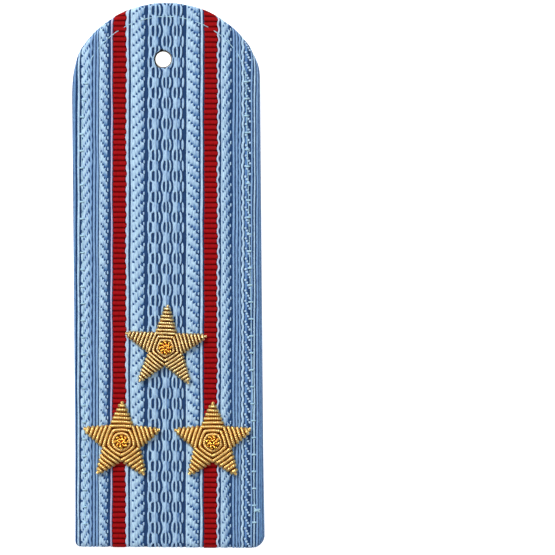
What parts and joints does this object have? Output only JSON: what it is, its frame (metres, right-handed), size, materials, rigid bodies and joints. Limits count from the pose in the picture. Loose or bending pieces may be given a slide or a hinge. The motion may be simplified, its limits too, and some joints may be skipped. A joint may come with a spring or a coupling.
{
  "type": "shoulder board",
  "caption": "Flat shoulder board with a round buttoned end: ribbed woven galloon folded over a stiff card, cross-ribbed stripes and padded gold-wire stars.",
  "frame": {"origin": "middle of the board's box, on the surface that it lies on", "axes": "+Y along the board towards the round end with the button hole, +Z out of its face, +X across it"},
  "size_m": [0.0504, 0.1452, 0.0071],
  "materials": {
    "galloon": "woven rayon galloon, light blue, soft sheen",
    "red_stripe": "woven rayon, dark red, cross-ribbed",
    "card": "plain grey-beige fibre board",
    "gold_wire": "gilt bullion wire, satin",
    "gold_chips": "bright cut gilt wire"
  },
  "bodies": {
    "root": {"galloon": "galloon", "red_stripe_left": "red_stripe", "red_stripe_right": "red_stripe", "stiffener": "card", "star_top": "gold_wire", "star_left": "gold_wire", "star_right": "gold_wire", "star_top_chips": "gold_chips", "star_left_chips": "gold_chips", "star_right_chips": "gold_chips"}
  },
  "joints": []
}
